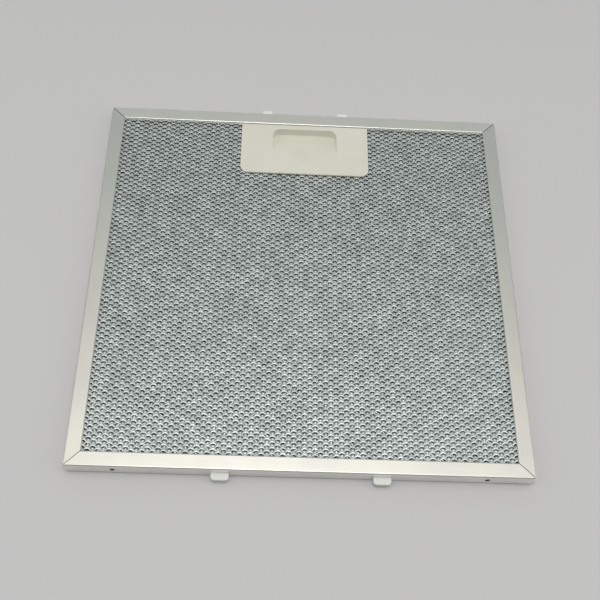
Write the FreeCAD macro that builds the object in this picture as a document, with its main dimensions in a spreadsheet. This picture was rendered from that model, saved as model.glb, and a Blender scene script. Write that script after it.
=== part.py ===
import FreeCAD, Part
import math
import os

import Sketcher

# Cooker hood grease filter: a folded aluminium frame that holds a pack of expanded
# metal sheets, with a recessed grip, a spring latch with two tongues on the far side
# and two fixed tabs on the near side.
#
# Frame of the part, in millimetres: it lies on its back, front face up (+Z), latch to
# the far side (+Y), origin at the middle of the back face.

SIZES = {
    # frame: one strip folded to a C section and bent round four corners
    "frame_width": 300.0,
    "frame_depth": 297.0,
    "frame_height": 10.0,
    "strip_gauge": 0.7,
    "lip_width": 10.5,
    "flange_drop": 1.8,
    "corner_bend": 2.0,
    "edge_bend": 1.0,
    "flange_bend": 1.0,
    "mitre_gap": 0.3,
    "mitre_stop": 2.0,
    "drain_bore": 3.2,
    "drain_offset": 119.4,
    # pack of expanded sheets: a strand row is a tilted slat between two slots
    "pack_inset": 1.6,
    "outer_sheet_rise": 1.2,
    "inner_layers": 3,
    "strand_pitch": 4.05,
    "strand_slot": 1.25,
    "strand_gauge": 0.55,
    "inner_pitch": 9.0,
    "inner_slot": 3.1,
    "strand_land": 0.35,
    "cut_margin": 0.5,
    # grip: front plate with a finger recess, housing walls behind it, back cover
    "grip_width": 97.5,
    "grip_depth": 47.4,
    "grip_corner": 6.2,
    "grip_edge": 0.5,
    "plate_drop": 0.7,
    "housing_inset": 4.0,
    "housing_wall": 1.2,
    "recess_width": 49.2,
    "recess_length": 22.6,
    "recess_setback": 4.4,
    "recess_depth": 6.5,
    "recess_floor": 6.4,
    "recess_corner": 5.8,
    "tub_wall": 0.75,
    "rim_wall": 1.0,
    "rim_height": 0.8,
    # latch: slider with two tongues, pushed out by two coil springs
    "tongue_width": 7.5,
    "tongue_reach": 5.0,
    "tongue_bottom": 5.0,
    "tongue_gauge": 2.0,
    "tongue_corner": 1.4,
    "bar_depth": 5.0,
    "ear_setback": 18.0,
    "ear_depth": 3.0,
    "ear_height": 3.6,
    "stop_depth": 2.4,
    "rail_width": 3.0,
    "spring_width": 4.2,
    "spring_wire": 0.55,
    "spring_turns": 6,
    "spring_peg": 2.4,
    "spring_peg_length": 3.0,
    "spring_play": 0.1,
    # fixed tabs: a tongue through the near wall on a foot behind it
    "tab_width": 11.4,
    "tab_offset": 51.7,
    "tab_reach": 5.0,
    "tab_top": 5.4,
    "tab_gauge": 1.8,
    "tab_corner": 2.4,
    "tab_foot_width": 18.0,
    "tab_foot_gauge": 1.4,
    # clearances
    "fit": 0.25,
    "slide_fit": 0.2,
    "tongue_side_fit": 0.3,
    "spring_side_fit": 1.25,
}

# How finely the coil springs are drawn.
RUNS_PER_TURN = 10
WIRE_SIDES = 6


class Dim:
    """A size from the sheet, or one worked out from sizes: its value and its expression."""

    def __init__(self, text, value):
        self.text = text
        self.value = value

    @staticmethod
    def of(number):
        """Take a plain number, such as 0 or 2, as a Dim."""
        return number if isinstance(number, Dim) else Dim(str(number), float(number))

    def joined(self, sign, other, value):
        return Dim(f"({self.text} {sign} {other.text})", value)

    def __add__(self, other):
        other = Dim.of(other)
        return self.joined("+", other, self.value + other.value)

    def __sub__(self, other):
        other = Dim.of(other)
        return self.joined("-", other, self.value - other.value)

    def __mul__(self, other):
        other = Dim.of(other)
        return self.joined("*", other, self.value * other.value)

    def __truediv__(self, other):
        other = Dim.of(other)
        return self.joined("/", other, self.value / other.value)

    def __neg__(self):
        return Dim(f"(0 - {self.text})", -self.value)

    def __radd__(self, other):
        return Dim.of(other) + self

    def __rsub__(self, other):
        return Dim.of(other) - self

    def __rmul__(self, other):
        return Dim.of(other) * self

    def whole(self):
        """The whole part of the value."""
        return Dim(f"floor({self.text})", math.floor(self.value))


class Sizes:
    """The document's sheet of driving sizes, each read by its name."""

    def __init__(self, document):
        sheet = document.addObject("Spreadsheet::Sheet", "Sizes")
        for row, (name, value) in enumerate(SIZES.items(), start=1):
            sheet.set(f"A{row}", name)
            sheet.set(f"B{row}", str(value))
            sheet.setAlias(f"B{row}", name)
        document.recompute()

    def __getattr__(self, name):
        return Dim(f"Sizes.{name}", SIZES[name])


doc = FreeCAD.newDocument("grease_filter")
s = Sizes(doc)
nodes = []
ZERO = Dim.of(0)

# Planes and levels that several pieces share.
half_width = s.frame_width / 2
half_depth = s.frame_depth / 2
window_x = half_width - s.lip_width
window_y = half_depth - s.lip_width
wall_x = half_width - s.strip_gauge
wall_y = half_depth - s.strip_gauge
pack_bottom = s.flange_drop
pack_top = s.frame_height - s.flange_drop
plate_top = s.frame_height - s.plate_drop
grip_far = window_y - s.fit
grip_near = window_y - s.grip_depth
housing_x = s.grip_width / 2 - s.housing_inset
housing_near = grip_near + s.housing_inset
housing_far = wall_y - s.fit
housing_inner_x = housing_x - s.housing_wall
housing_inner_near = housing_near + s.housing_wall
recess_far = window_y - s.recess_setback
recess_near = recess_far - s.recess_length
tub_x = s.recess_width / 2 + s.tub_wall
tub_far = recess_far + s.tub_wall
tongue_top = s.tongue_bottom + s.tongue_gauge
tongue_inner_x = tub_x + s.tongue_side_fit
tongue_outer_x = tongue_inner_x + s.tongue_width
tongue_offset = (tongue_inner_x + tongue_outer_x) / 2
bar_near = housing_inner_near + s.tongue_reach + s.slide_fit
rail_near = bar_near + s.bar_depth / 2
ear_near = bar_near + s.ear_setback
spring_offset = tongue_outer_x + s.spring_side_fit + s.spring_width / 2
spring_level = (pack_bottom + pack_top) / 2


def new_body(label):
    """Start a sub-part: a body whose label names its file."""
    body = doc.addObject("PartDesign::Body", label)
    body.Label = label
    nodes.append(body)
    return body


def origin_feature(body, role):
    """One of the body's own origin planes or axes."""
    return next(item for item in body.Origin.OriginFeatures if item.Role == role)


def new_sketch(body, name, plane, offset):
    """A sketch on one of the body's origin planes, moved along the axis across that plane."""
    sketch = body.newObject("Sketcher::SketchObject", name)
    sketch.AttachmentSupport = [(origin_feature(body, plane), "")]
    sketch.MapMode = "FlatFace"
    along_normal = -offset if plane == "XZ_Plane" else offset
    sketch.AttachmentOffset = FreeCAD.Placement(FreeCAD.Vector(0, 0, along_normal.value), FreeCAD.Rotation())
    sketch.setExpression("AttachmentOffset.Base.z", along_normal.text)
    return sketch


def locate(sketch, geometry, point, axis, place):
    """Fix one coordinate of a sketch point to an expression."""
    origin = (-1, 1)
    index = sketch.addConstraint(Sketcher.Constraint(f"Distance{axis}", *origin, geometry, point, place.value))
    sketch.setExpression(f"Constraints[{index}]", place.text)


def draw_polygon(sketch, corners):
    """A closed outline of straight lines through corners given as pairs of Dims."""
    corners = [(Dim.of(x), Dim.of(y)) for x, y in corners]
    vectors = [FreeCAD.Vector(x.value, y.value, 0) for x, y in corners]
    first = sketch.GeometryCount
    for here, there in zip(vectors, vectors[1:] + vectors[:1]):
        sketch.addGeometry(Part.LineSegment(here, there), False)
    for index, (x, y) in enumerate(corners):
        line = first + index
        before = first + (index - 1) % len(corners)
        sketch.addConstraint(Sketcher.Constraint("Coincident", before, 2, line, 1))
        locate(sketch, line, 1, "X", x)
        locate(sketch, line, 1, "Y", y)


def draw_circle(sketch, x, y, diameter):
    """A circle by its centre and diameter."""
    x, y = Dim.of(x), Dim.of(y)
    centre = FreeCAD.Vector(x.value, y.value, 0)
    circle = sketch.addGeometry(Part.Circle(centre, FreeCAD.Vector(0, 0, 1), diameter.value / 2), False)
    locate(sketch, circle, 3, "X", x)
    locate(sketch, circle, 3, "Y", y)
    index = sketch.addConstraint(Sketcher.Constraint("Diameter", circle, diameter.value))
    sketch.setExpression(f"Constraints[{index}]", diameter.text)


def rectangle(x0, x1, y0, y1):
    """The corners of a rectangle."""
    return [(x0, y0), (x1, y0), (x1, y1), (x0, y1)]


def centred(half_x, half_y):
    """The corners of a rectangle about the origin."""
    return rectangle(-half_x, half_x, -half_y, half_y)


def draw_arch(sketch, half_x, near, far, radius):
    """A rectangle about the middle plane whose two far corners are round."""
    side_end = far - radius
    top_end = half_x - radius
    ends = [(-half_x, near), (half_x, near), (half_x, side_end), (top_end, far), (-top_end, far), (-half_x, side_end)]
    points = [FreeCAD.Vector(x.value, y.value, 0) for x, y in ends]
    centre_right = FreeCAD.Vector(top_end.value, side_end.value, 0)
    centre_left = FreeCAD.Vector(-top_end.value, side_end.value, 0)
    up = FreeCAD.Vector(0, 0, 1)
    quarter = math.pi / 2
    pieces = [
        Part.LineSegment(points[0], points[1]),
        Part.LineSegment(points[1], points[2]),
        Part.ArcOfCircle(Part.Circle(centre_right, up, radius.value), 0, quarter),
        Part.LineSegment(points[3], points[4]),
        Part.ArcOfCircle(Part.Circle(centre_left, up, radius.value), quarter, 2 * quarter),
        Part.LineSegment(points[5], points[0]),
    ]
    first = sketch.GeometryCount
    sketch.addGeometry(pieces, False)
    for index, (x, y) in enumerate(ends):
        here = first + index
        before = first + (index - 1) % len(pieces)
        sketch.addConstraint(Sketcher.Constraint("Coincident", before, 2, here, 1))
        locate(sketch, here, 1, "X", x)
        locate(sketch, here, 1, "Y", y)
    for arc in (2, 4):
        index = sketch.addConstraint(Sketcher.Constraint("Radius", first + arc, radius.value))
        sketch.setExpression(f"Constraints[{index}]", radius.text)


def extrude(body, kind, name, plane, start, end, outlines=(), circles=(), arches=()):
    """Pad or pocket a sketch between two levels along the axis across its plane."""
    start, end = Dim.of(start), Dim.of(end)
    sketch = new_sketch(body, f"{name}_outline", plane, (start + end) / 2)
    for corners in outlines:
        draw_polygon(sketch, corners)
    for arch in arches:
        draw_arch(sketch, *arch)
    for circle in circles:
        draw_circle(sketch, *circle)
    feature = body.newObject(f"PartDesign::{kind}", name)
    feature.Profile = sketch
    feature.SideType = "Symmetric"
    feature.setExpression("Length", (end - start).text)
    doc.recompute()
    return feature


def upright_at(x, y):
    """A test for edges that run along Z at a distance from both middle planes."""
    def test(edge):
        box = edge.BoundBox
        upright = box.ZLength > max(box.XLength, box.YLength) + 0.1
        return upright and abs(abs(box.Center.x) - x.value) < 1e-4 and abs(box.Center.y - y.value) < 1e-4
    return test


def round_edges(body, name, radius, test):
    """Fillet the edges of the body's last shape that pass a test."""
    base = body.Tip
    picked = [f"Edge{i}" for i, edge in enumerate(base.Shape.Edges, start=1) if test(edge)]
    if not picked:
        raise RuntimeError(f"{body.Label}: no edge for {name}")
    fillet = body.newObject("PartDesign::Fillet", name)
    fillet.Base = (base, picked)
    fillet.setExpression("Radius", radius.text)
    doc.recompute()
    return fillet


def level_edges(z, keep=lambda box: True):
    """A test for edges that lie in one level plane, with a further test on their box."""
    def test(edge):
        box = edge.BoundBox
        level = box.ZLength < 1e-6 and abs(box.Center.z - z.value) < 1e-4
        return level and keep(box)
    return test


def mitre_strips():
    """The thin 45 degree slits where the lips meet at the four corners."""
    half_gap = s.mitre_gap / (2 * math.sqrt(2))
    inner_x = window_x - s.cut_margin
    inner_y = window_y - s.cut_margin
    run = s.lip_width + s.cut_margin - s.mitre_stop
    for side_x in (-1, 1):
        for side_y in (-1, 1):
            yield [
                (side_x * (inner_x + half_gap), side_y * (inner_y - half_gap)),
                (side_x * (inner_x + run + half_gap), side_y * (inner_y + run - half_gap)),
                (side_x * (inner_x + run - half_gap), side_y * (inner_y + run + half_gap)),
                (side_x * (inner_x - half_gap), side_y * (inner_y + half_gap)),
            ]


def slot(middle, width, bottom, top):
    """The outline of a clearance slot round a tongue, in a wall across Y."""
    half = width / 2 + s.fit
    return rectangle(middle - half, middle + half, bottom - s.fit, top + s.fit)


def make_frame():
    """The folded strip: two lips with turned-in edges on a wall that goes round the corners."""
    body = new_body("frame")
    top = s.frame_height
    extrude(body, "Pad", "outside", "XY_Plane", 0, top, [centred(half_width, half_depth)])
    for side, word in ((-1, "near"), (1, "far")):
        round_edges(body, f"{word}_corner_bends", s.corner_bend, upright_at(half_width, side * half_depth))
    extrude(body, "Pocket", "window", "XY_Plane", 0, top, [centred(window_x, window_y)])
    flange_x = window_x + s.strip_gauge
    flange_y = window_y + s.strip_gauge
    channel = [centred(wall_x, wall_y), centred(flange_x, flange_y)]
    extrude(body, "Pocket", "channel", "XY_Plane", s.strip_gauge, top - s.strip_gauge, channel)
    for side, word in ((-1, "near"), (1, "far")):
        inner_bend = s.corner_bend - s.strip_gauge
        round_edges(body, f"{word}_inner_bends", inner_bend, upright_at(wall_x, side * wall_y))
    mouth = [centred(flange_x, flange_y), centred(window_x, window_y)]
    extrude(body, "Pocket", "mouth", "XY_Plane", pack_bottom, pack_top, mouth)

    def outer(box):
        return max(abs(box.XMin), abs(box.XMax)) > wall_x.value or max(abs(box.YMin), abs(box.YMax)) > wall_y.value

    def inner(box):
        return max(abs(box.XMin), abs(box.XMax)) < flange_x.value and not outer(box)

    for name, level in (("back", ZERO), ("front", top)):
        round_edges(body, f"{name}_edge_bend", s.edge_bend, level_edges(level, outer))
        round_edges(body, f"{name}_flange_bend", s.flange_bend, level_edges(level, inner))
    extrude(body, "Pocket", "front_mitres", "XY_Plane", pack_top, top, list(mitre_strips()))
    extrude(body, "Pocket", "back_mitres", "XY_Plane", 0, pack_bottom, list(mitre_strips()))
    tongue_slots = [slot(side * tongue_offset, s.tongue_width, s.tongue_bottom, tongue_top) for side in (-1, 1)]
    extrude(body, "Pocket", "tongue_slots", "XZ_Plane", wall_y - s.fit, half_depth, tongue_slots)
    tab_bottom = s.tab_top - s.tab_gauge
    tab_slots = [slot(side * s.tab_offset, s.tab_width, tab_bottom, s.tab_top) for side in (-1, 1)]
    extrude(body, "Pocket", "tab_slots", "XZ_Plane", -half_depth, s.fit - wall_y, tab_slots)
    drains = [(side * s.drain_offset, s.frame_height / 2, s.drain_bore) for side in (-1, 1)]
    extrude(body, "Pocket", "drain_holes", "XZ_Plane", -half_depth, s.fit - wall_y, circles=drains)


def make_sheet(label, bottom, top, along, pitch, gap):
    """An expanded sheet: a plate with a notch for the latch housing, cut into rows of tilted strands.

    The rows run along X or Y, and the solid border that carries them hides under the lips.
    """
    body = new_body(label)
    edge_x = wall_x - s.pack_inset
    edge_y = wall_y - s.pack_inset
    notch_x = housing_x + s.fit
    notch_y = housing_near - s.fit
    outline = [
        (-edge_x, -edge_y), (edge_x, -edge_y), (edge_x, edge_y), (notch_x, edge_y),
        (notch_x, notch_y), (-notch_x, notch_y), (-notch_x, edge_y), (-edge_x, edge_y),
    ]
    extrude(body, "Pad", "plate", "XY_Plane", bottom, top, [outline])
    plane, axis, half_run, half_rows = {
        "X": ("YZ_Plane", "Y_Axis", window_x, window_y),
        "Y": ("XZ_Plane", "X_Axis", window_y, window_x),
    }[along]
    start = s.strand_land - half_rows + pitch - gap
    row = [
        (start + gap - pitch + s.strand_land, bottom - s.cut_margin),
        (start + gap - pitch + s.strand_land, bottom),
        (start, top - s.strand_gauge),
        (start, top + s.cut_margin),
        (start + pitch - s.strand_land, top + s.cut_margin),
        (start + pitch - s.strand_land, top),
        (start + gap, bottom + s.strand_gauge),
        (start + gap, bottom - s.cut_margin),
    ]
    first = extrude(body, "Pocket", "strand_gap", plane, -half_run, half_run, [row])
    count = (2 * (half_rows - s.strand_land) / pitch).whole() - 1
    rows = body.newObject("PartDesign::LinearPattern", "strand_rows")
    rows.Originals = [first]
    rows.Direction = (origin_feature(body, axis), [""])
    rows.Mode = "Extent"
    rows.setExpression("Occurrences", count.text)
    rows.setExpression("Length", (pitch * (count - 1)).text)
    body.Tip = rows
    doc.recompute()


def make_pack():
    """The outer sheets under the two faces, and the inner layers, turned crosswise one by one."""
    inner_bottom = pack_bottom + s.outer_sheet_rise
    inner_top = pack_top - s.outer_sheet_rise
    rise = (inner_top - inner_bottom) / s.inner_layers
    make_sheet("back_mesh", pack_bottom, inner_bottom, "X", s.strand_pitch, s.strand_slot)
    for layer in range(SIZES["inner_layers"]):
        bottom = inner_bottom + rise * layer
        along = "Y" if layer % 2 == 0 else "X"
        make_sheet(f"inner_mesh_{layer + 1}", bottom, bottom + rise, along, s.inner_pitch, s.inner_slot)
    make_sheet("front_mesh", inner_top, pack_top, "X", s.strand_pitch, s.strand_slot)


def make_grip_plate():
    """The front moulding: plate, finger recess, housing walls, guide ribs and stops."""
    body = new_body("grip_plate")
    half_grip = s.grip_width / 2
    plate = rectangle(-half_grip, half_grip, grip_near, grip_far)
    extrude(body, "Pad", "plate", "XY_Plane", pack_top, plate_top, [plate])
    round_edges(body, "near_corners", s.grip_corner, upright_at(half_grip, grip_near))
    round_edges(body, "plate_edge", s.grip_edge, level_edges(plate_top, lambda box: box.YMin < grip_far.value - 1))
    walls = [
        (-housing_x, housing_near), (housing_x, housing_near), (housing_x, housing_far),
        (housing_inner_x, housing_far), (housing_inner_x, housing_inner_near),
        (-housing_inner_x, housing_inner_near), (-housing_inner_x, housing_far), (-housing_x, housing_far),
    ]
    extrude(body, "Pad", "housing_walls", "XY_Plane", pack_bottom, pack_top, [walls])
    floor = plate_top - s.recess_depth
    half_recess = s.recess_width / 2
    ramp_end = recess_far - s.recess_floor
    tub = (tub_x, recess_near, tub_far, s.recess_corner + s.tub_wall)
    extrude(body, "Pad", "tub", "XY_Plane", pack_bottom, pack_top, arches=[tub])
    recess = (half_recess, recess_near, recess_far, s.recess_corner)
    extrude(body, "Pocket", "recess", "XY_Plane", floor, plate_top, arches=[recess])
    under = [(recess_near, pack_bottom), (ramp_end, pack_bottom), (recess_near, pack_top)]
    extrude(body, "Pocket", "under_ramp", "YZ_Plane", -tub_x, tub_x, [under])
    ramp = [(recess_near, pack_top), (ramp_end, pack_bottom), (ramp_end, floor), (recess_near, plate_top)]
    extrude(body, "Pad", "ramp", "YZ_Plane", -half_recess, half_recess, [ramp])
    rib_x = s.rail_width / 2
    ribs = []
    stops = []
    for side in (-1, 1):
        middle = side * tongue_offset
        ribs.append(rectangle(middle - rib_x, middle + rib_x, rail_near, grip_far))
        stop_near = ear_near + s.ear_depth + s.slide_fit
        stop_x = tongue_outer_x + s.fit
        stops.append(rectangle(side * stop_x, side * housing_inner_x, stop_near, stop_near + s.stop_depth))
    extrude(body, "Pad", "guide_ribs", "XY_Plane", tongue_top + s.slide_fit, pack_top, ribs)
    extrude(body, "Pad", "stops", "XY_Plane", s.tongue_bottom, pack_top, stops)
    pegs = [(side * spring_offset, spring_level, s.spring_peg) for side in (-1, 1)]
    peg_end = housing_inner_near + s.spring_peg_length
    extrude(body, "Pad", "spring_pegs", "XZ_Plane", housing_inner_near, peg_end, circles=pegs)


def make_grip_cover():
    """The back cover: plate, rails that the slider runs on, and a rim that fits inside the housing."""
    body = new_body("grip_cover")
    half_grip = s.grip_width / 2
    plate = rectangle(-half_grip, half_grip, grip_near, grip_far)
    extrude(body, "Pad", "plate", "XY_Plane", s.plate_drop, pack_bottom, [plate])
    round_edges(body, "near_corners", s.grip_corner, upright_at(half_grip, grip_near))
    back_rim = level_edges(s.plate_drop, lambda box: box.YMin < grip_far.value - 1)
    round_edges(body, "plate_edge", s.grip_edge, back_rim)
    rail_x = s.rail_width / 2
    rails = []
    for side in (-1, 1):
        middle = side * tongue_offset
        rails.append(rectangle(middle - rail_x, middle + rail_x, rail_near, grip_far))
    extrude(body, "Pad", "rails", "XY_Plane", pack_bottom, s.tongue_bottom - s.slide_fit, rails)
    rim_x = housing_inner_x - s.fit
    rim_near = housing_inner_near + s.fit
    rim = [
        (-rim_x, rim_near), (rim_x, rim_near), (rim_x, grip_far), (rim_x - s.rim_wall, grip_far),
        (rim_x - s.rim_wall, rim_near + s.rim_wall), (s.rim_wall - rim_x, rim_near + s.rim_wall),
        (s.rim_wall - rim_x, grip_far), (-rim_x, grip_far),
    ]
    extrude(body, "Pad", "locating_rim", "XY_Plane", pack_bottom, pack_bottom + s.rim_height, [rim])


def make_latch_slider():
    """The slider: two tongues on a cross bar, with an ear and a peg for each spring."""
    body = new_body("latch_slider")
    tip = half_depth + s.tongue_reach
    bar_far = bar_near + s.bar_depth
    fork = [
        (-tongue_outer_x, bar_near), (tongue_outer_x, bar_near), (tongue_outer_x, tip), (tongue_inner_x, tip),
        (tongue_inner_x, bar_far), (-tongue_inner_x, bar_far), (-tongue_inner_x, tip), (-tongue_outer_x, tip),
    ]
    extrude(body, "Pad", "fork", "XY_Plane", s.tongue_bottom, tongue_top, [fork])
    for name, x in (("outer", tongue_outer_x), ("inner", tongue_inner_x)):
        round_edges(body, f"{name}_tip_corners", s.tongue_corner, upright_at(x, tip))
    ear_x = spring_offset + s.spring_width / 2
    ears = []
    for side in (-1, 1):
        ears.append(rectangle(side * tongue_outer_x, side * ear_x, ear_near, ear_near + s.ear_depth))
    extrude(body, "Pad", "ears", "XY_Plane", tongue_top - s.ear_height, tongue_top, ears)
    pegs = [(side * spring_offset, spring_level, s.spring_peg) for side in (-1, 1)]
    extrude(body, "Pad", "spring_pegs", "XZ_Plane", ear_near - s.spring_peg_length, ear_near, circles=pegs)


def coil_shape():
    """A coil of short straight runs round Z, with a six-sided wire, standing on the origin."""
    radius = (SIZES["spring_width"] - SIZES["spring_wire"]) / 2
    wire = SIZES["spring_wire"]
    height = (ear_near - housing_inner_near).value - 2 * SIZES["spring_play"] - wire
    runs = SIZES["spring_turns"] * RUNS_PER_TURN
    path = []
    for run in range(runs + 1):
        angle = 2 * math.pi * run / RUNS_PER_TURN
        level = wire / 2 + height * run / runs
        path.append(FreeCAD.Vector(radius * math.cos(angle), radius * math.sin(angle), level))
    forward = (path[1] - path[0]).normalize()
    across = forward.cross(FreeCAD.Vector(1, 0, 0)).normalize()
    outward = across.cross(forward).normalize()
    ring = []
    for corner in range(WIRE_SIDES + 1):
        angle = 2 * math.pi * corner / WIRE_SIDES
        ring.append(path[0] + outward * (wire / 2 * math.cos(angle)) + across * (wire / 2 * math.sin(angle)))
    section = Part.makePolygon(ring)
    mitred = 1
    return Part.makePolygon(path).makePipeShell([section], True, True, mitred)


def make_spring(label, side):
    """A compression spring along Y, from the housing's near wall to the slider's ear."""
    spring = doc.addObject("Part::Feature", label)
    spring.Label = label
    spring.Shape = coil_shape()
    spring.Placement.Rotation = FreeCAD.Rotation(FreeCAD.Vector(0, 0, 1), FreeCAD.Vector(0, 1, 0))
    spring.setExpression("Placement.Base.x", (side * spring_offset).text)
    spring.setExpression("Placement.Base.y", (housing_inner_near + s.spring_play).text)
    spring.setExpression("Placement.Base.z", spring_level.text)
    nodes.append(spring)


def make_tab(label, side):
    """A fixed tab: a rounded tongue through the near wall, on a foot that seats behind it."""
    body = new_body(label)
    middle = side * s.tab_offset
    tip = -half_depth - s.tab_reach
    tongue = rectangle(middle - s.tab_width / 2, middle + s.tab_width / 2, tip, -wall_y)
    extrude(body, "Pad", "tongue", "XY_Plane", s.tab_top - s.tab_gauge, s.tab_top, [tongue])

    def tip_corner(edge):
        box = edge.BoundBox
        return box.ZLength > s.tab_gauge.value / 2 and abs(box.Center.y - tip.value) < 1e-4

    round_edges(body, "tip_corners", s.tab_corner, tip_corner)
    foot_x = s.tab_foot_width / 2
    foot = rectangle(middle - foot_x, middle + foot_x, -wall_y, s.tab_foot_gauge - wall_y)
    extrude(body, "Pad", "foot", "XY_Plane", pack_bottom, pack_top, [foot])


def check_document():
    """Stop if a feature failed, changed nothing, or left a shape that is no valid solid."""
    for item in doc.Objects:
        if {"Invalid", "Error"} & set(item.State):
            raise RuntimeError(f"{item.Label} failed: {item.State}")
        base = getattr(item, "BaseFeature", None)
        if base is not None and abs(item.Shape.Volume - base.Shape.Volume) < 1e-6:
            raise RuntimeError(f"{item.Label} changes nothing")
    for node in nodes:
        shape = node.Shape
        if shape.isNull() or not shape.isValid() or len(shape.Solids) != 1:
            raise RuntimeError(f"{node.Label} is not one valid solid")


make_frame()
make_pack()
make_grip_plate()
make_grip_cover()
make_latch_slider()
for side, word in ((-1, "left"), (1, "right")):
    make_spring(f"latch_spring_{word}", side)
    make_tab(f"hook_tab_{word}", side)
doc.recompute()
check_document()
os.makedirs("parts", exist_ok=True)
for node in nodes:
    node.Shape.exportStep(os.path.join("parts", f"{node.Label}.step"))
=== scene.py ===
import logging
import math
from collections.abc import Mapping, Sequence
from dataclasses import dataclass, field
from enum import Enum
from typing import Any, ClassVar

import bmesh
import bpy
from mathutils import Euler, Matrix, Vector


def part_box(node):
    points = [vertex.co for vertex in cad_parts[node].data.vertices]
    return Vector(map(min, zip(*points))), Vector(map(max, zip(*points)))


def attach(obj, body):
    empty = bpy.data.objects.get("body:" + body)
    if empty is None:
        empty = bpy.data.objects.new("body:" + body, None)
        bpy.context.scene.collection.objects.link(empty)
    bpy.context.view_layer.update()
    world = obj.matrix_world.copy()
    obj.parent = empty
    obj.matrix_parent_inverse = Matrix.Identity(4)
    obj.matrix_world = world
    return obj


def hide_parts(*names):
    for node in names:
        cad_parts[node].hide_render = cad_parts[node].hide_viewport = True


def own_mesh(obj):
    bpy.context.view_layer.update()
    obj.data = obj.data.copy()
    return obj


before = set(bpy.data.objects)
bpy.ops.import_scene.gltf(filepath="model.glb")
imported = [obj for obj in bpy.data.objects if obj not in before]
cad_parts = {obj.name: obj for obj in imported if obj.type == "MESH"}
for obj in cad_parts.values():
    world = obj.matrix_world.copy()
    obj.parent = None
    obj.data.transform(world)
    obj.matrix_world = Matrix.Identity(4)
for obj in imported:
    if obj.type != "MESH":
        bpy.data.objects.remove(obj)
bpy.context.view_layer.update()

# A cooker hood grease filter: an aluminium frame round sheets of expanded metal, with a
# moulded grip, a sprung latch and two fixed tabs. Lengths are in metres, except where a
# docstring says millimetres.

MM = 0.001
WELD = 0.002 * MM
TONE = "strand_tone"
log = logging.getLogger("grease_filter")

Colour = tuple[float, float, float]


class Body(Enum):
    """The two bodies that pieces ride on."""

    FILTER = "filter"
    LATCH = "latch"


class Slot(Enum):
    """The record's material slots."""

    SATIN_ALUMINIUM = "satin_aluminium"
    MESH_ALUMINIUM = "mesh_aluminium"
    IVORY_PLASTIC = "ivory_plastic"
    SPRING_STEEL = "spring_steel"


class Run(Enum):
    """Which way the strand rows of a sheet run, as a turn about Z in radians."""

    ACROSS = 0.0
    ALONG = math.pi / 2


class Seat(Enum):
    """Which face of its CAD solid a sheet lies against."""

    BACK = "back"
    MIDDLE = "middle"
    FRONT = "front"


class Term:
    """A number in a node tree: an output socket that takes part in sums."""

    def __init__(self, bench: "Bench", socket: bpy.types.NodeSocket) -> None:
        """Hold the socket and the bench that its tree belongs to."""
        self.bench = bench
        self.socket = socket

    def _math(self, operation: str, *values: Any) -> "Term":
        """Feed values to a Math node.

        Args:
            operation: The Math node's operation.
            values: Its inputs in order, terms or plain numbers.

        Returns:
            The node's result.
        """
        inputs = dict(enumerate(values))
        node = self.bench.add("ShaderNodeMath", {"operation": operation}, inputs)
        return Term(self.bench, node.outputs[0])

    def __add__(self, other: Any) -> "Term":
        """Add."""
        return self._math("ADD", self, other)

    def __radd__(self, other: Any) -> "Term":
        """Add to a plain number."""
        return self._math("ADD", other, self)

    def __sub__(self, other: Any) -> "Term":
        """Subtract."""
        return self._math("SUBTRACT", self, other)

    def __rsub__(self, other: Any) -> "Term":
        """Subtract from a plain number."""
        return self._math("SUBTRACT", other, self)

    def __mul__(self, other: Any) -> "Term":
        """Multiply."""
        return self._math("MULTIPLY", self, other)

    def __rmul__(self, other: Any) -> "Term":
        """Multiply a plain number."""
        return self._math("MULTIPLY", other, self)

    def __truediv__(self, other: Any) -> "Term":
        """Divide."""
        return self._math("DIVIDE", self, other)

    def __rtruediv__(self, other: Any) -> "Term":
        """Divide a plain number."""
        return self._math("DIVIDE", other, self)

    def __mod__(self, other: Any) -> "Term":
        """The remainder."""
        return self._math("MODULO", self, other)

    def __pow__(self, other: Any) -> "Term":
        """Raise to a power."""
        return self._math("POWER", self, other)

    def __abs__(self) -> "Term":
        """The size without the sign."""
        return self._math("ABSOLUTE", self)

    def above(self, limit: Any) -> "Term":
        """One where the number is over a limit, and zero elsewhere."""
        return self._math("GREATER_THAN", self, limit)

    def larger(self, other: Any) -> "Term":
        """The larger of two numbers."""
        return self._math("MAXIMUM", self, other)

    def swing(self, width: float) -> "Term":
        """A noise from 0 to 1 made a swing of that width about zero."""
        return (self - 0.5) * width

    def ease(self, low: float, high: float, start: float = 0.0, end: float = 1.0) -> "Term":
        """Map the number smoothly from one range to another.

        Args:
            low: The number at which the result is start.
            high: The number at which the result is end.
            start: The result at and below low.
            end: The result at and above high.

        Returns:
            The mapped number.
        """
        settings = {"interpolation_type": "SMOOTHSTEP"}
        inputs = {"Value": self, "From Min": low, "From Max": high, "To Min": start, "To Max": end}
        node = self.bench.add("ShaderNodeMapRange", settings, inputs)
        return Term(self.bench, node.outputs["Result"])


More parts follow.
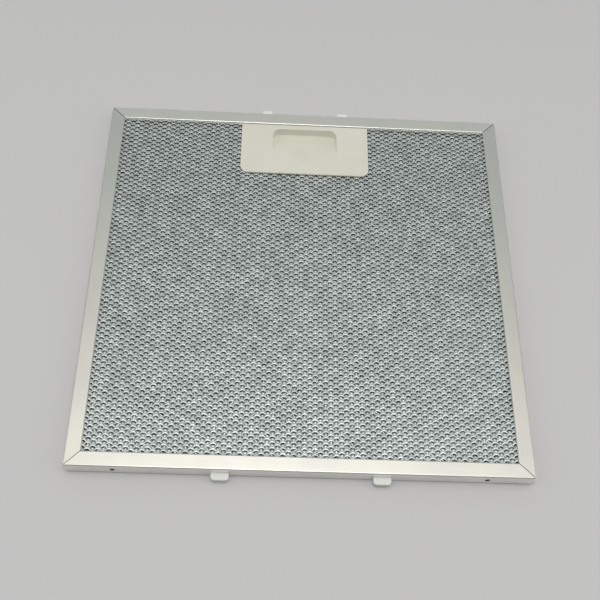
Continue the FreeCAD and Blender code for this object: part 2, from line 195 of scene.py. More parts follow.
class Bench:
    """Adds nodes to one tree and links them."""

    def __init__(self, tree: bpy.types.NodeTree) -> None:
        """Start on a tree, which is emptied."""
        self.tree = tree
        tree.nodes.clear()

    def add(
        self,
        kind: str,
        settings: Mapping[str, Any] | None = None,
        inputs: Mapping[str | int, Any] | None = None,
    ) -> bpy.types.Node:
        """Add a node.

        Args:
            kind: The node's type name.
            settings: Its own options, set first.
            inputs: Terms, sockets, nodes or plain values by input name or number.

        Returns:
            The new node.
        """
        node = self.tree.nodes.new(kind)
        for name, value in (settings or {}).items():
            setattr(node, name, value)
        for key, value in (inputs or {}).items():
            if isinstance(key, int):
                socket = node.inputs[key]
            else:
                socket = next(item for item in node.inputs if item.name == key and item.enabled)
            self.plug(socket, value)
        return node

    def plug(self, socket: bpy.types.NodeSocket, value: Any) -> None:
        """Link a term, socket or node to an input, or set a plain value on it.

        Args:
            socket: The input socket.
            value: What goes into it.
        """
        if isinstance(value, Term):
            value = value.socket
        elif isinstance(value, bpy.types.Node):
            value = next(item for item in value.outputs if item.enabled)
        if isinstance(value, bpy.types.NodeSocket):
            self.tree.links.new(value, socket)
        else:
            socket.default_value = value

    def split(self, vector: Any) -> tuple[Term, Term, Term]:
        """The three coordinates of a vector."""
        node = self.add("ShaderNodeSeparateXYZ", inputs={"Vector": vector})
        return tuple(Term(self, output) for output in node.outputs)

    def joined(self, x: Any, y: Any, z: Any) -> bpy.types.NodeSocket:
        """A vector from three coordinates."""
        return self.add("ShaderNodeCombineXYZ", inputs={"X": x, "Y": y, "Z": z}).outputs[0]

    def scaled(self, vector: Any, factor: Any) -> bpy.types.NodeSocket:
        """A vector times a number."""
        inputs = {"Vector": vector, "Scale": factor}
        return self.add("ShaderNodeVectorMath", {"operation": "SCALE"}, inputs).outputs["Vector"]

    def shifted(self, vector: Any, by: Any) -> bpy.types.NodeSocket:
        """The sum of two vectors."""
        node = self.add("ShaderNodeVectorMath", {"operation": "ADD"}, {0: vector, 1: by})
        return node.outputs["Vector"]

    def noise(self, vector: Any, scale: float, detail: float = 2.0) -> Term:
        """A soft random number from 0 to 1 that varies over space.

        Args:
            vector: The place, in metres.
            scale: How many features there are to a metre.
            detail: How many finer octaves are added.

        Returns:
            The random number.
        """
        inputs = {"Vector": vector, "Scale": scale, "Detail": detail}
        return Term(self, self.add("ShaderNodeTexNoise", inputs=inputs).outputs[0])

    def blend(self, factor: Any, low: Any, high: Any) -> bpy.types.NodeSocket:
        """Mix two colours.

        Args:
            factor: 0 for the first colour, 1 for the second.
            low: The first colour, as three numbers or a socket.
            high: The second colour.

        Returns:
            The mixed colour.
        """
        colours = [(*item, 1.0) if isinstance(item, tuple) else item for item in (low, high)]
        inputs = {"Factor": factor, "A": colours[0], "B": colours[1]}
        node = self.add("ShaderNodeMix", {"data_type": "RGBA"}, inputs)
        return next(output for output in node.outputs if output.enabled)


class SurfaceBench(Bench):
    """A material's tree: a Principled shader with its output."""

    def __init__(self, name: str) -> None:
        """Make a material with a bare shader.

        Args:
            name: The material's name.
        """
        self.material = bpy.data.materials.new(name)
        self.material.use_nodes = True
        super().__init__(self.material.node_tree)
        self.shader = self.add("ShaderNodeBsdfPrincipled")
        self.add("ShaderNodeOutputMaterial", inputs={"Surface": self.shader})
        self.place = self.add("ShaderNodeTexCoord").outputs["Object"]

    def surface(self, inputs: Mapping[str, Any]) -> None:
        """Set or feed the shader's inputs by name."""
        for name, value in inputs.items():
            self.plug(self.shader.inputs[name], value)

    def relief(self, height: Any, depth: float, strength: float = 1.0) -> None:
        """Bump the surface.

        Args:
            height: The height, from 0 to 1.
            depth: The real depth of a height of 1.
            strength: How much of the bump shows.
        """
        inputs = {"Height": height, "Distance": depth, "Strength": strength}
        self.surface({"Normal": self.add("ShaderNodeBump", inputs=inputs)})


@dataclass(frozen=True)
class SatinAluminium:
    """Rolled aluminium strip, with a grain along each side of a frame and dark mitre seams."""

    half_width: float
    half_depth: float
    colour: Colour = (0.875, 0.865, 0.825)
    dull_colour: Colour = (0.775, 0.775, 0.75)
    dull_range: tuple[float, float] = (0.38, 0.72)
    roughness: float = 0.25
    end_roughness: float = 0.09
    streak_roughness: float = 0.16
    cloud_roughness: float = 0.10
    cloud_scale: float = 28.0
    streak_share: float = 0.4
    grain: float = 1800.0
    stretch: float = 0.02
    grain_depth: float = 0.012 * MM
    mitre_colour: Colour = (0.16, 0.155, 0.14)
    mitre_width: float = 0.5 * MM
    mitre_core: float = 0.3

    def material(self) -> bpy.types.Material:
        """Make the material.

        Returns:
            The new material.
        """
        bench = SurfaceBench(Slot.SATIN_ALUMINIUM.value)
        x, y, z = bench.split(bench.place)
        past_side = abs(x) - self.half_width
        past_end = abs(y) - self.half_depth
        end_member = past_end.above(past_side)
        along = y + (x - y) * end_member
        across = x + (y - x) * end_member
        grain_place = bench.joined(along * self.stretch, across, z)
        streaks = bench.noise(grain_place, self.grain, detail=3.0)
        clouds = bench.noise(bench.place, self.cloud_scale, detail=3.0)
        wear = streaks * self.streak_share + clouds * (1.0 - self.streak_share)
        metal = bench.blend(wear.ease(*self.dull_range), self.colour, self.dull_colour)
        rough = self.roughness + end_member * self.end_roughness
        core = self.mitre_width * self.mitre_core
        on_lip = (self.half_depth - abs(y)).ease(self.mitre_width, self.mitre_width * 2)
        seam = abs(past_end - past_side).ease(core, self.mitre_width, 1.0, 0.0) * on_lip
        bench.surface({
            "Base Color": bench.blend(seam, metal, self.mitre_colour),
            "Metallic": 1.0,
            "Roughness": rough
            + streaks.swing(self.streak_roughness)
            + clouds.swing(self.cloud_roughness),
        })
        bench.relief(streaks, self.grain_depth)
        return bench.material


@dataclass(frozen=True)
class MeshAluminium:
    """Sheared and stretched aluminium, each strand a little brighter or duller."""

    name: str = Slot.MESH_ALUMINIUM.value
    bright: Colour = (0.83, 0.875, 0.88)
    dull: Colour = (0.46, 0.495, 0.50)
    tone_share: float = 0.8
    film_share: float = 0.4
    film_start: float = 0.1
    film_scale: float = 60.0
    roughness: float = 0.36
    shear_roughness: float = 0.14
    shear_scale: float = 2400.0
    shear_depth: float = 0.05 * MM
    shear_strength: float = 0.5

    def material(self) -> bpy.types.Material:
        """Make the material.

        Returns:
            The new material.
        """
        bench = SurfaceBench(self.name)
        attribute = bench.add("ShaderNodeAttribute", {"attribute_name": TONE})
        tone = Term(bench, attribute.outputs["Fac"])
        film = bench.noise(bench.place, self.film_scale)
        shear = bench.noise(bench.place, self.shear_scale, detail=1.0)
        shine = tone * self.tone_share + film * self.film_share - self.film_start
        bench.surface({
            "Base Color": bench.blend(shine, self.dull, self.bright),
            "Metallic": 1.0,
            "Roughness": self.roughness + shear * self.shear_roughness,
        })
        bench.relief(shear, self.shear_depth, self.shear_strength)
        return bench.material


@dataclass(frozen=True)
class MouldedPlastic:
    """Matt moulded plastic with a fine spark-eroded texture."""

    name: str
    colour: Colour
    warm: Colour
    warm_range: tuple[float, float] = (0.3, 0.75)
    roughness: float = 0.48
    cloud_roughness: float = 0.08
    cloud_scale: float = 45.0
    pebble_roughness: float = 0.14
    pebble_scale: float = 3800.0
    pebble_depth: float = 0.03 * MM
    pebble_strength: float = 0.6
    specular: float = 0.42

    def material(self) -> bpy.types.Material:
        """Make the material.

        Returns:
            The new material.
        """
        bench = SurfaceBench(self.name)
        clouds = bench.noise(bench.place, self.cloud_scale, detail=3.0)
        pebbles = bench.noise(bench.place, self.pebble_scale, detail=1.0)
        bench.surface({
            "Base Color": bench.blend(clouds.ease(*self.warm_range), self.colour, self.warm),
            "Roughness": self.roughness
            + pebbles.swing(self.pebble_roughness)
            + clouds.swing(self.cloud_roughness),
            "Specular IOR Level": self.specular,
        })
        bench.relief(pebbles, self.pebble_depth, self.pebble_strength)
        return bench.material


@dataclass(frozen=True)
class SpringSteel:
    """Drawn wire, with fine die lines."""

    colour: Colour = (0.55, 0.55, 0.56)
    worn: Colour = (0.42, 0.42, 0.43)
    worn_range: tuple[float, float] = (0.35, 0.7)
    roughness: float = 0.28
    line_roughness: float = 0.2
    line_scale: float = 2600.0
    line_depth: float = 0.015 * MM
    line_strength: float = 0.5

    def material(self) -> bpy.types.Material:
        """Make the material.

        Returns:
            The new material.
        """
        bench = SurfaceBench(Slot.SPRING_STEEL.value)
        lines = bench.noise(bench.place, self.line_scale)
        bench.surface({
            "Base Color": bench.blend(lines.ease(*self.worn_range), self.colour, self.worn),
            "Metallic": 1.0,
            "Roughness": self.roughness + lines * self.line_roughness,
        })
        bench.relief(lines, self.line_depth, self.line_strength)
        return bench.material


class NodeShape(Bench):
    """A Geometry Nodes tree with named inputs, and the mesh that it makes."""

    def __init__(self, name: str) -> None:
        """Start a tree that hands one geometry on.

        Args:
            name: The name of the tree and of its mesh.
        """
        super().__init__(bpy.data.node_groups.new(name, "GeometryNodeTree"))
        self.name = name
        sockets = self.tree.interface
        sockets.new_socket("Geometry", in_out="OUTPUT", socket_type="NodeSocketGeometry")
        self.values: dict[str, Any] = {}
        self.entry = self.add("NodeGroupInput")

    def size(self, name: str, value: float) -> Term:
        """Declare a named length or number and its value.

        Args:
            name: The input's name.
            value: What this object sets it to.

        Returns:
            The input as a term.
        """
        kind = "NodeSocketInt" if isinstance(value, int) else "NodeSocketFloat"
        item = self.tree.interface.new_socket(name, in_out="INPUT", socket_type=kind)
        self.values[item.identifier] = value
        outputs = self.entry.outputs
        return Term(self, next(o for o in outputs if o.identifier == item.identifier))

    def finish(self, geometry: Any, material: bpy.types.Material) -> None:
        """Realize the geometry, give it a material and hand it on.

        Args:
            geometry: The node that makes the geometry.
            material: The material of all its faces.
        """
        real = self.add("GeometryNodeRealizeInstances", inputs={"Geometry": geometry})
        inputs = {"Geometry": real, "Material": material}
        painted = self.add("GeometryNodeSetMaterial", inputs=inputs)
        self.add("NodeGroupOutput", inputs={"Geometry": painted})

    def piece(self) -> bpy.types.Object:
        """Run the tree and keep its result.

        Returns:
            The result as a plain mesh object, linked to the scene.
        """
        host_name = f"{self.name}_host"
        host = bpy.data.objects.new(host_name, bpy.data.meshes.new(host_name))
        bpy.context.scene.collection.objects.link(host)
        modifier = host.modifiers.new(self.name, "NODES")
        modifier.node_group = self.tree
        for identifier, value in self.values.items():
            modifier[identifier] = value
        graph = bpy.context.evaluated_depsgraph_get()
        mesh = bpy.data.meshes.new_from_object(host.evaluated_get(graph))
        bpy.data.objects.remove(host)
        piece = bpy.data.objects.new(self.name, mesh)
        bpy.context.scene.collection.objects.link(piece)
        return piece


def place(piece: bpy.types.Object, body: Body, slot: Slot, node: str) -> None:
    """Let a piece ride on its body in place of a CAD node, and log it.

    Args:
        piece: The finished piece.
        body: The body that it rides on.
        slot: The record's material slot of the piece; not used.
        node: The CAD node that it stands for.
    """
    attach(piece, body.value)
    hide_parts(node)
    log.info("%s: %d faces, rides on %s", piece.name, len(piece.data.polygons), body.value)


def corner_normals(surface: bmesh.types.BMesh, crease: float) -> list[Vector]:
    """Shading normals that keep flat faces flat and bends smooth.

    Args:
        surface: The joined surface.
        crease: The angle in degrees over which an edge stays crisp.

    Returns:
        For each corner of each face, the mean by area of the faces that meet there smoothly.
    """
    limit = math.cos(math.radians(crease))
    areas = {face: face.calc_area() for face in surface.faces}
    normals = []
    for face in surface.faces:
        for corner in face.verts:
            smooth = [near for near in corner.link_faces if near.normal.dot(face.normal) >= limit]
            total = sum((near.normal * areas[near] for near in smooth), Vector())
            normals.append(total.normalized())
    return normals


def smooth_copy(
    node: str, name: str, material: bpy.types.Material, crease: float = 30.0
) -> bpy.types.Object:
    """Copy a CAD node as one joined surface with smooth bends and crisp edges.

    Args:
        node: The CAD node.
        name: The copy's name.
        material: The copy's material.
        crease: The angle in degrees over which an edge stays crisp.

    Returns:
        The copy, linked to the scene.
    """
    surface = bmesh.new()
    surface.from_mesh(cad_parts[node].data)
    bmesh.ops.remove_doubles(surface, verts=surface.verts, dist=WELD)
    surface.normal_update()
    normals = corner_normals(surface, crease)
    mesh = bpy.data.meshes.new(name)
    surface.to_mesh(mesh)
    surface.free()
    if "custom_normal" in mesh.attributes:
        mesh.attributes.remove(mesh.attributes["custom_normal"])
    mesh.materials.clear()
    mesh.materials.append(material)
    mesh.shade_smooth()
    mesh.normals_split_custom_set(normals)
    piece = bpy.data.objects.new(name, mesh)
    bpy.context.scene.collection.objects.link(piece)
    return piece


@dataclass(frozen=True)
class Lattice:
    """The spacing of a sheet's arches: along a row, and from one row to the next."""

    length: float
    row: float


@dataclass(frozen=True)
class Station:
    """A section of half an arch, in millimetres.

    It gives the middle and the width of the land, and how far the slope behind the land spreads
    to the side, runs back and drops.
    """

    x: float
    y: float
    z: float
    land: float
    spread: float
    back: float
    drop: float


class Unit:
    """A shape that a sheet repeats."""

    height: float

    def draw(self, surface: bmesh.types.BMesh) -> None:
        """Draw the closed shape."""
        raise NotImplementedError

    def model(self, name: str) -> bpy.types.Object:
        """Make the shape as an object.

        Args:
            name: The object's name.

        Returns:
            The object, which no scene shows.
        """
        surface = bmesh.new()
        self.draw(surface)
        bmesh.ops.recalc_face_normals(surface, faces=surface.faces)
        mesh = bpy.data.meshes.new(name)
        surface.to_mesh(mesh)
        surface.free()
        return bpy.data.objects.new(name, mesh)


@dataclass(frozen=True)
class Strand(Unit):
    """One arch of an expanded sheet: a land on top, and a slope that falls away behind it."""

    stations: Sequence[Station]
    cant: float = 0.045

    @property
    def height(self) -> float:
        """The height that a row of strands takes."""
        return max(station.drop - station.z for station in self.stations) * MM

    def ring(self, station: Station, side: int) -> list[Vector]:
        """The three corners of the strand's section.

        Args:
            station: Where the section lies.
            side: 1 on the right half of the arch and -1 on the left.

        Returns:
            The near and far edges of the land, and the foot of the slope.
        """
        near = Vector((side * station.x, station.y - station.land / 2, station.z))
        far = near + Vector((0.0, station.land, station.land * self.cant))
        foot = far + Vector((side * station.spread, station.back, -station.drop))
        return [corner * MM for corner in (near, far, foot)]

    def draw(self, surface: bmesh.types.BMesh) -> None:
        """Draw the arch.

        Args:
            surface: The mesh that it is added to.
        """
        half = [self.ring(station, 1) for station in self.stations]
        other_half = [self.ring(station, -1) for station in reversed(self.stations)]
        rings = [[surface.verts.new(point) for point in ring] for ring in other_half + half]
        for here, there in zip(rings, rings[1:]):
            for corner in range(3):
                after = (corner + 1) % 3
                surface.faces.new((here[corner], here[after], there[after], there[corner]))
        surface.faces.new(rings[0])
        surface.faces.new(rings[-1])


@dataclass(frozen=True)
class Bond(Unit):
    """The stem behind a crest, where two strands hold together.

    Its side view and half its width are in millimetres.
    """

    side_view: Sequence[tuple[float, float]]
    half_width: float

    @property
    def height(self) -> float:
        """The height that the stem takes."""
        return -min(z for _, z in self.side_view) * MM

    def draw(self, surface: bmesh.types.BMesh) -> None:
        """Draw the stem.

        Args:
            surface: The mesh that it is added to.
        """
        sides = []
        for x in (-self.half_width, self.half_width):
            sides.append([surface.verts.new(Vector((x, y, z)) * MM) for y, z in self.side_view])
        left, right = sides
        count = len(left)
        for index in range(count):
            after = (index + 1) % count
            surface.faces.new((left[index], left[after], right[after], right[index]))
        surface.faces.new(left)
        surface.faces.new(right)


@dataclass
class ExpandedSheet:
    """One sheet of the pack, or its bonds: rows of one shape, each row half a step on."""

    node: str
    name: str
    unit: Unit
    lattice: Lattice
    run: Run
    seat: Seat
    seed: int
    roll: float
    tones: tuple[float, float]
    window: tuple[float, float]
    notch: tuple[float, float]
    wander: float = 0.10 * MM
    wave: float = 22.0
    play: float = 0.12 * MM
    roll_shares: ClassVar[Sequence[float]] = (1.0, 0.3, 0.2)
    wander_shares: ClassVar[Sequence[float]] = (1.0, 1.0, 0.3)
    seed_step: ClassVar[float] = 0.3

    def level(self) -> float:
        """Find the height of the strands' lands.

        Returns:
            The height above the floor.
        """
        low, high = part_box(self.node)
        return {
            Seat.BACK: low.z + self.play,
            Seat.MIDDLE: (low.z + high.z + self.unit.height) / 2,
            Seat.FRONT: high.z - self.play,
        }[self.seat]

    def rows(self, shape: NodeShape, unit: bpy.types.Object) -> bpy.types.Node:
        """Set the shape in staggered rows, each one rolled and toned a little at random.

        Args:
            shape: The sheet's tree.
            unit: The shape to repeat.

        Returns:
            The node that gives the instances.
        """
        reach = max(self.window)
        count_x = shape.size("Strands in a Row", 2 * math.ceil(reach / self.lattice.length) + 2)
        count_y = shape.size("Rows", 2 * math.ceil(reach / self.lattice.row) + 1)
        length = shape.size("Strand Length", self.lattice.length)
        row_pitch = shape.size("Row Pitch", self.lattice.row)
        roll = shape.size("Roll", self.roll)
        grid = shape.add("GeometryNodeMeshGrid", inputs={
            "Size X": (count_x - 1) * length,
            "Size Y": (count_y - 1) * row_pitch,
            "Vertices X": count_x,
            "Vertices Y": count_y,
        })
        row = Term(shape, shape.add("GeometryNodeInputIndex").outputs[0]) % count_y
        stagger = shape.joined((row % 2 - 0.5) * length / 2, 0.0, 0.0)
        points = shape.add("GeometryNodeSetPosition", inputs={"Geometry": grid, "Offset": stagger})
        rolls = shape.add("FunctionNodeRandomValue", {"data_type": "FLOAT_VECTOR"}, {
            "Min": shape.joined(*(roll * -share for share in self.roll_shares)),
            "Max": shape.joined(*(roll * share for share in self.roll_shares)),
            "Seed": self.seed,
        })
        source = shape.add("GeometryNodeObjectInfo", inputs={"Object": unit})
        strands = shape.add("GeometryNodeInstanceOnPoints", inputs={
            "Points": points, "Instance": source.outputs["Geometry"], "Rotation": rolls,
        })
        low_tone, high_tone = self.tones
        tones = shape.add("FunctionNodeRandomValue", {"data_type": "FLOAT"}, {
            "Min": low_tone, "Max": high_tone, "Seed": self.seed + 1,
        })
        return shape.add(
            "GeometryNodeStoreNamedAttribute", {"data_type": "FLOAT", "domain": "INSTANCE"},
            {"Geometry": strands, "Name": TONE, "Value": tones},
        )

    def laid(self, shape: NodeShape, strands: bpy.types.Node) -> bpy.types.Node:
        """Turn the rows, lay them in the frame and cut them to the window and the notch.

        Args:
            shape: The sheet's tree.
            strands: The node that gives the instances.

        Returns:
            The node that gives the instances that are left.
        """
        level = shape.size("Level", self.level())
        window_x = shape.size("Half Window X", self.window[0])
        window_y = shape.size("Half Window Y", self.window[1])
        notch_x = shape.size("Half Notch X", self.notch[0])
        notch_y = shape.size("Notch Near Y", self.notch[1])
        turn = shape.size("Turn", self.run.value)
        flip = shape.size("Flip", math.pi if self.seat is Seat.BACK else 0.0)
        turned = shape.add("GeometryNodeTransform", inputs={
            "Geometry": strands,
            "Translation": shape.joined(0.0, 0.0, level),
            "Rotation": shape.joined(flip, 0.0, turn),
        })
        x, y, _ = shape.split(shape.add("GeometryNodeInputPosition"))
        outside = abs(x).above(window_x).larger(abs(y).above(window_y))
        in_notch = (notch_x - abs(x)).above(0.0) * (y - notch_y).above(0.0)
        return shape.add("GeometryNodeDeleteGeometry", {"domain": "INSTANCE"}, {
            "Geometry": turned, "Selection": outside.larger(in_notch),
        })

    def bent(self, shape: NodeShape, strands: bpy.types.Node) -> bpy.types.Node:
        """Let the sheet drift a little from its even spacing.

        Args:
            shape: The sheet's tree.
            strands: The node that gives the instances.

        Returns:
            The node that gives the bent sheet.
        """
        wander = shape.size("Wander", self.wander)
        here = shape.add("GeometryNodeInputPosition")
        drift = shape.add("ShaderNodeTexNoise", inputs={
            "Vector": shape.shifted(here, (self.seed_step * self.seed, 0.0, 0.0)),
            "Scale": self.wave,
            "Detail": 2.0,
        }).outputs["Color"]
        swing = shape.scaled(shape.shifted(drift, (-0.5, -0.5, -0.5)), wander * 2)
        inputs = {0: swing, 1: self.wander_shares}
        offset = shape.add("ShaderNodeVectorMath", {"operation": "MULTIPLY"}, inputs)
        real = shape.add("GeometryNodeRealizeInstances", inputs={"Geometry": strands})
        return shape.add("GeometryNodeSetPosition", inputs={"Geometry": real, "Offset": offset})

    def build(self, material: bpy.types.Material) -> bpy.types.Object:
        """Make the sheet.

        Args:
            material: The sheet's material.

        Returns:
            The sheet as a plain mesh.
        """
        shape = NodeShape(f"{self.node}_{self.name}")
        unit = self.unit.model(f"{shape.name}_unit")
        strands = self.laid(shape, self.rows(shape, unit))
        shape.finish(self.bent(shape, strands), material)
        piece = shape.piece()
        bpy.data.objects.remove(unit)
        return piece


@dataclass
class FilterPack:
    """The pack of expanded sheets inside the frame."""

    lattice: Lattice = Lattice(length=6.9 * MM, row=2.025 * MM)
    inner_lattice: Lattice = Lattice(length=7.2 * MM, row=2.2 * MM)
    arch: Strand = Strand((
        Station(0.60, -0.07, -0.01, 0.90, 0.00, 2.35, 0.72),
        Station(1.55, -0.65, -0.06, 0.66, 0.00, 2.40, 0.72),
        Station(2.60, -1.72, -0.25, 0.42, 0.00, 1.50, 0.54),
    ))
    inner_arch: Strand = Strand((
        Station(0.90, -0.15, 0.00, 0.80, 0.10, 1.30, 0.70),
        Station(2.70, -1.90, -0.30, 0.50, 0.30, 0.80, 0.50),
    ))
    bond: Bond = Bond(
        ((0.30, -0.05), (1.10, -0.22), (2.20, -0.22), (1.40, -0.60)), half_width=0.46
    )
    roll: float = 0.05
    inner_roll: float = 0.08
    tones: tuple[float, float] = (0.70, 1.0)
    inner_tones: tuple[float, float] = (0.8, 1.0)
    lip: float = 10.5 * MM
    cover: float = 2.8 * MM
    inner_inset: float = 2.0 * MM

    def sheets(self) -> list[ExpandedSheet]:
        """List the sheets from the back to the front.

        Returns:
            The sheets and the bonds of the two outer ones.
        """
        _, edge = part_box("frame")
        plate_low, plate_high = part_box("grip_plate")

        def limits(spread: float) -> tuple[tuple[float, float], tuple[float, float]]:
            """The half window and the notch, for strands that may lie so far under the lips."""
            window = (edge.x - self.lip + spread, edge.y - self.lip + spread)
            return window, (plate_high.x - spread, plate_low.y + spread)

        plan = [
            ("back_mesh", Run.ACROSS, Seat.BACK, 11),
            ("inner_mesh_1", Run.ALONG, Seat.MIDDLE, 23),
            ("inner_mesh_2", Run.ACROSS, Seat.MIDDLE, 37),
            ("inner_mesh_3", Run.ALONG, Seat.MIDDLE, 41),
            ("front_mesh", Run.ACROSS, Seat.FRONT, 53),
        ]
        sheets = []
        for node, run, seat, seed in plan:
            if seat is Seat.MIDDLE:
                units = {"strands": self.inner_arch}
                lattice, roll, tones = self.inner_lattice, self.inner_roll, self.inner_tones
                window, notch = limits(-self.inner_inset)
            else:
                units = {"strands": self.arch, "bonds": self.bond}
                lattice, roll, tones = self.lattice, self.roll, self.tones
                window, notch = limits(self.cover)
            for name, unit in units.items():
                sheets.append(ExpandedSheet(
                    node, name, unit, lattice, run, seat, seed, roll, tones, window, notch
                ))
        return sheets

    def build(self, outer: bpy.types.Material, inner: bpy.types.Material) -> None:
        """Make every sheet and set it in place of its CAD node.

        Args:
            outer: The material of the front and back sheets.
            inner: The material of the sheets between them. Its lighter colours are painted light
                that lifts the shade inside the pack.
        """
        for sheet in self.sheets():
            material = inner if sheet.seat is Seat.MIDDLE else outer
            place(sheet.build(material), Body.FILTER, Slot.MESH_ALUMINIUM, sheet.node)


@dataclass
class FoldedFrame:
    """The aluminium strip round the pack."""

    node: str = "frame"

    def build(self) -> None:
        """Dress the frame."""
        _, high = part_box(self.node)
        finish = SatinAluminium(half_width=high.x, half_depth=high.y)
        strip = smooth_copy(self.node, "folded_frame", finish.material())
        place(strip, Body.FILTER, Slot.SATIN_ALUMINIUM, self.node)


@dataclass
class Grip:
    """The moulded grip: its front plate with the finger recess, and its back cover."""

    nodes: Mapping[str, str] = field(
        default_factory=lambda: {"grip_plate": "recessed_grip", "grip_cover": "grip_back"}
    )

    def build(self, material: bpy.types.Material) -> None:
        """Dress both mouldings."""
        for node, name in self.nodes.items():
            place(smooth_copy(node, name, material), Body.FILTER, Slot.IVORY_PLASTIC, node)


@dataclass
class SpringLatch:
    """The slider with its two tongues, and the two springs that push it out."""

    turns: float = 6.0
    wire: float = 0.55 * MM
    travel: float = 5.0 * MM
    points_in_turn: int = 24
    points_in_section: int = 10
    slider: ClassVar[str] = "latch_slider"
    springs: ClassVar[Sequence[str]] = ("latch_spring_left", "latch_spring_right")

    def coil(self, node: str, material: bpy.types.Material) -> bpy.types.Object:
        """Wind a spring where its CAD node lies.

        Args:
            node: The spring's CAD node.
            material: The wire's material.

        Returns:
            The spring as a plain mesh.
        """
        low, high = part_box(node)
        middle = (low + high) / 2
        shape = NodeShape(f"{node}_coil")
        wire = shape.size("Wire", self.wire)
        width = shape.size("Width", high.x - low.x)
        height = shape.size("Height", high.y - low.y)
        turns = shape.size("Turns", self.turns)
        radius = (width - wire) / 2
        spiral = shape.add("GeometryNodeCurveSpiral", inputs={
            "Resolution": self.points_in_turn,
            "Rotations": turns,
            "Start Radius": radius,
            "End Radius": radius,
            "Height": height - wire,
        })
        section = shape.add("GeometryNodeCurvePrimitiveCircle", inputs={
            "Resolution": self.points_in_section, "Radius": wire / 2,
        })
        tube = shape.add("GeometryNodeCurveToMesh", inputs={
            "Curve": spiral, "Profile Curve": section.outputs["Curve"], "Fill Caps": True,
        })
        laid = shape.add("GeometryNodeTransform", inputs={
            "Geometry": tube,
            "Translation": (middle.x, low.y + self.wire / 2, middle.z),
            "Rotation": (-math.pi / 2, 0.0, 0.0),
        })
        shape.finish(laid, material)
        piece = shape.piece()
        piece.data.shade_smooth()
        return piece

    def build(self, plastic: bpy.types.Material, steel: bpy.types.Material) -> None:
        """Dress the slider and wind the springs.

        Args:
            plastic: The slider's material.
            steel: The springs' material.
        """
        tongues = smooth_copy(self.slider, "latch_tongues", plastic)
        place(tongues, Body.LATCH, Slot.IVORY_PLASTIC, self.slider)
        for node in self.springs:
            spring = self.coil(node, steel)
            place(spring, Body.FILTER, Slot.SPRING_STEEL, node)
            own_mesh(spring)


@dataclass
class HookTabs:
    """The two fixed tabs on the near side."""

    nodes: ClassVar[Sequence[str]] = ("hook_tab_left", "hook_tab_right")

    def build(self, material: bpy.types.Material) -> None:
        """Dress both tabs.

        Args:
            material: The tabs' material.
        """
        for node in self.nodes:
            tab = smooth_copy(node, f"{node}_moulding", material)
            place(tab, Body.FILTER, Slot.IVORY_PLASTIC, node)


@dataclass(frozen=True)
class Softbox:
    """A square lamp that faces the part."""

    name: str
    place: tuple[float, float, float]
    size: float
    power: float

    def hang(self) -> None:
        """Hang the lamp."""
        lamp = bpy.data.lights.new(self.name, "AREA")
        lamp.shape = "SQUARE"
        lamp.size = self.size
        lamp.energy = self.power
        light = bpy.data.objects.new(self.name, lamp)
        light.location = self.place
        light.rotation_mode = "QUATERNION"
        light.rotation_quaternion = light.location.to_track_quat("Z", "Y")
        bpy.context.scene.collection.objects.link(light)


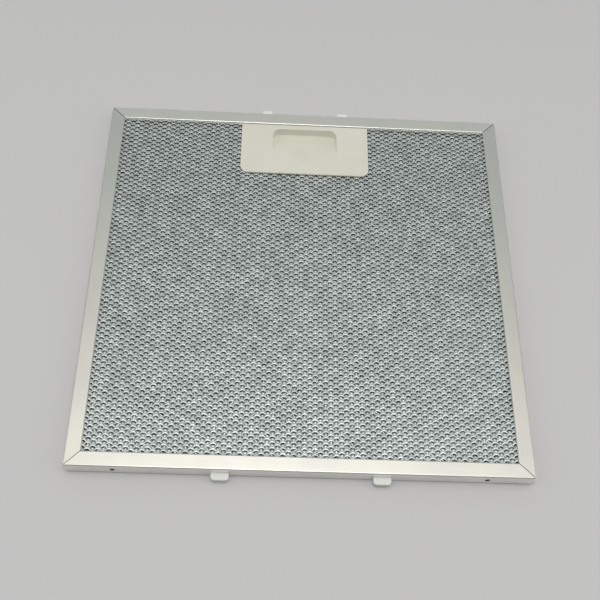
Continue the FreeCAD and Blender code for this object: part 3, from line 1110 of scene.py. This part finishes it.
@dataclass
class Studio:
    """A pale floor, a soft sky, the softboxes and the camera."""

    camera_place: Vector = field(
        default_factory=lambda: Vector((-29.94, -383.31, 604.70)) * MM
    )
    camera_turn: tuple[float, float, float] = (31.2575, -3.0017, 0.5627)
    lens: float = 60.0
    sensor: float = 36.0
    floor_size: float = 6.0
    floor_gap: float = 0.2 * MM
    floor_colour: Colour = (0.705, 0.69, 0.705)
    floor_roughness: float = 0.7
    floor_specular: float = 0.2
    sky_base: float = 0.36
    sky_gain: float = 1.30
    sky_start: float = 0.70
    sky_power: int = 3
    sky_lean: float = 3.0
    sky_cool: Colour = (0.925, 1.0, 0.99)
    sky_warm: Colour = (1.0, 0.968, 0.895)
    warm_span: tuple[float, float] = (0.15, 0.8)
    near_dim: float = 0.70
    near_span: tuple[float, float] = (-0.8, -0.1)
    near_heights: tuple[float, float] = (0.3, 0.75)
    far_gain: float = 0.8
    far_span: tuple[float, float] = (0.3, 0.8)
    far_heights: tuple[float, float, float] = (0.28, 0.48, 0.68)
    softboxes: Sequence[Softbox] = (
        Softbox("softbox_left", (-1.10, -0.15, 0.80), size=1.2, power=2.6),
        Softbox("softbox_right", (1.10, -0.15, 0.80), size=1.2, power=2.6),
        Softbox("softbox_overhead", (0.0, -0.16, 1.20), size=0.4, power=1.8),
    )

    def floor(self) -> None:
        """Lay the floor just under the part."""
        mesh = bpy.data.meshes.new("studio_floor")
        half = self.floor_size / 2
        corners = [(-half, -half), (half, -half), (half, half), (-half, half)]
        mesh.from_pydata([(x, y, -self.floor_gap) for x, y in corners], [], [(0, 1, 2, 3)])
        bench = SurfaceBench("studio_paper")
        bench.surface({
            "Base Color": (*self.floor_colour, 1.0),
            "Roughness": self.floor_roughness,
            "Specular IOR Level": self.floor_specular,
        })
        mesh.materials.append(bench.material)
        floor = bpy.data.objects.new("studio_floor", mesh)
        bpy.context.scene.collection.objects.link(floor)

    def sky(self) -> None:
        """Light the part from all round: most from overhead, some from the far side."""
        world = bpy.data.worlds.new("studio_sky")
        world.use_nodes = True
        bpy.context.scene.world = world
        bench = Bench(world.node_tree)
        _, far, height = bench.split(bench.add("ShaderNodeTexCoord").outputs["Generated"])
        lean = math.radians(self.sky_lean)
        overhead = far * math.sin(lean) + height * math.cos(lean)
        overhead = (overhead - self.sky_start).larger(0.0) / (1.0 - self.sky_start)
        low, middle, high = self.far_heights
        near_side = far.ease(*self.near_span, 1.0, 0.0) * height.ease(*self.near_heights, 1.0, 0.0)
        far_band = height.ease(low, middle) * height.ease(middle, high, 1.0, 0.0)
        far_side = far.ease(*self.far_span) * far_band
        plain = self.sky_base * (1.0 - self.near_dim * near_side + self.far_gain * far_side)
        background = bench.add("ShaderNodeBackground", inputs={
            "Color": bench.blend(overhead.ease(*self.warm_span), self.sky_cool, self.sky_warm),
            "Strength": plain + self.sky_gain * overhead ** self.sky_power,
        })
        bench.add("ShaderNodeOutputWorld", inputs={"Surface": background})

    def camera(self) -> None:
        """Set up the camera."""
        data = bpy.data.cameras.new("studio_camera")
        data.lens = self.lens
        data.sensor_width = self.sensor
        camera = bpy.data.objects.new("studio_camera", data)
        camera.location = self.camera_place
        turn = [math.radians(angle) for angle in self.camera_turn]
        camera.rotation_euler = Euler(turn, "XYZ")
        bpy.context.scene.collection.objects.link(camera)
        bpy.context.scene.camera = camera

    def build(self) -> None:
        """Set up everything round the part."""
        bpy.context.scene.view_settings.view_transform = "Standard"
        self.floor()
        self.sky()
        for softbox in self.softboxes:
            softbox.hang()
        self.camera()


def main() -> None:
    """Dress the filter and set up the studio."""
    logging.basicConfig(level=logging.INFO, format="%(name)s: %(message)s")
    ivory = MouldedPlastic("ivory_plastic", (0.845, 0.83, 0.745), (0.815, 0.795, 0.695)).material()
    natural = MouldedPlastic("natural_plastic", (0.93, 0.93, 0.91), (0.91, 0.905, 0.88)).material()
    # The inner sheets get a lighter copy of the mesh aluminium: painted light that lifts the shade
    # that falls between the sheets of the pack.
    inner_painted_light = MeshAluminium("mesh_foil", (0.96, 0.985, 0.98), (0.86, 0.88, 0.88), roughness=0.28)
    FoldedFrame().build()
    FilterPack().build(MeshAluminium().material(), inner_painted_light.material())
    Grip().build(ivory)
    SpringLatch().build(natural, SpringSteel().material())
    HookTabs().build(natural)
    Studio().build()


if __name__ == "__main__":
    main()
